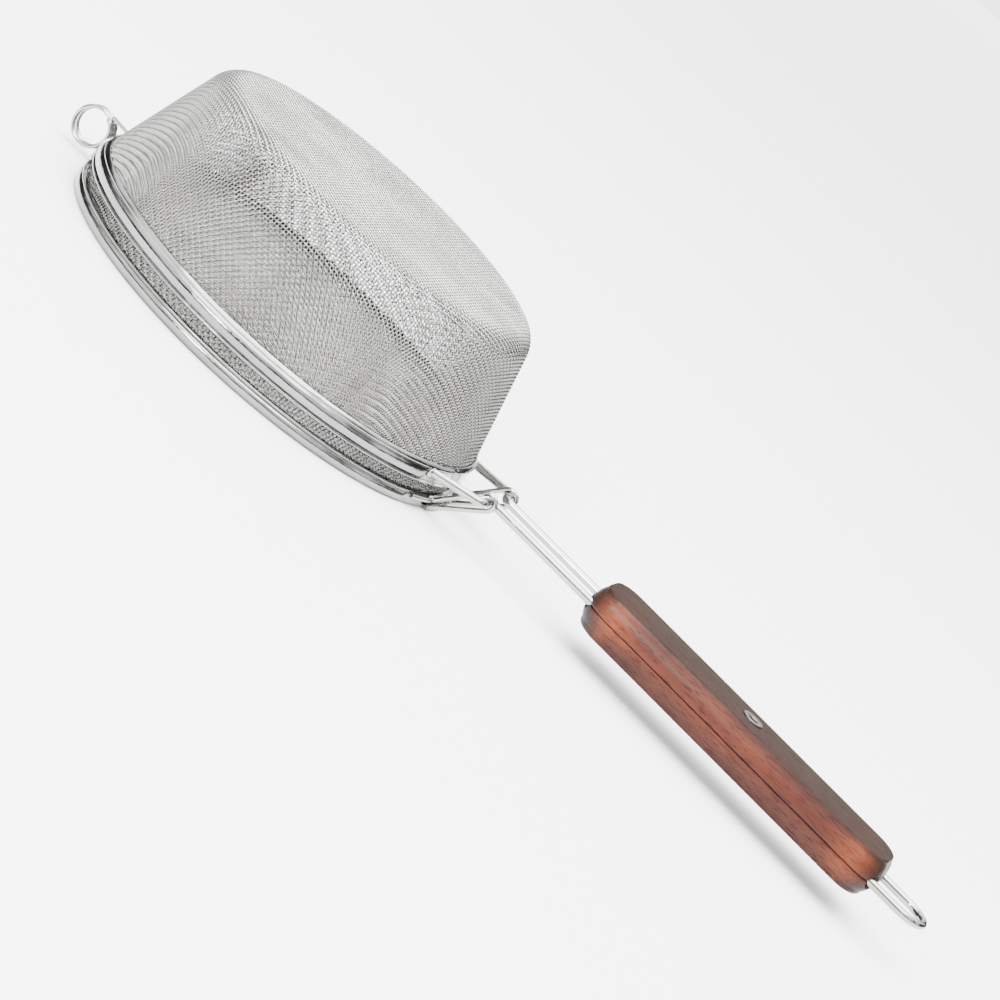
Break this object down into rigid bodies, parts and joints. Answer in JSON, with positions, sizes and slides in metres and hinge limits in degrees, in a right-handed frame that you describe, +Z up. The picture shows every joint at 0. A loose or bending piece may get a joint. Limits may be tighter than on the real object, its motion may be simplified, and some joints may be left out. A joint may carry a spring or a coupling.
{
  "type": "flour sifter",
  "caption": "Woven steel sifting basket with a hinged mesh lid, a spring clasp and a split wooden grip on a long wire handle.",
  "frame": {"origin": "centre of the lid rim's lower edge, where the shut sifter stands", "axes": "+X from the basket's axis along the handle, +Z up from the lid to the basket's flat floor"},
  "size_m": [0.3803, 0.16, 0.0596],
  "materials": {
    "wire_cloth": "woven bright wire",
    "bright_steel": "polished",
    "bright_wire": "polished",
    "stained_wood": "stained and lacquered",
    "dark_rivet": "darkened"
  },
  "bodies": {
    "basket": {"basket_mesh": "wire_cloth", "basket_rim": "bright_steel", "basket_hoop": "bright_steel", "handle_wire": "bright_wire", "grip_top_half": "stained_wood", "grip_bottom_half": "stained_wood", "grip_rivet": "dark_rivet", "clasp_lug": "bright_steel"},
    "lid": {"lid_mesh": "wire_cloth", "lid_rim": "bright_steel", "lid_hoop": "bright_steel", "lid_hinge_wire": "bright_wire"},
    "clasp": {"clasp_wire": "bright_wire"}
  },
  "joints": [
    {"name": "lid_hinge", "type": "hinge", "parent": "basket", "child": "lid", "pos_m": [0.0926, 0, 0.0164], "axis": [0, -1, 0], "range_deg": [0, 120]},
    {"name": "clasp_pivot", "type": "hinge", "parent": "basket", "child": "clasp", "pos_m": [-0.0858, 0, 0.0149], "axis": [0, 1, 0], "range_deg": [0, 100]}
  ]
}
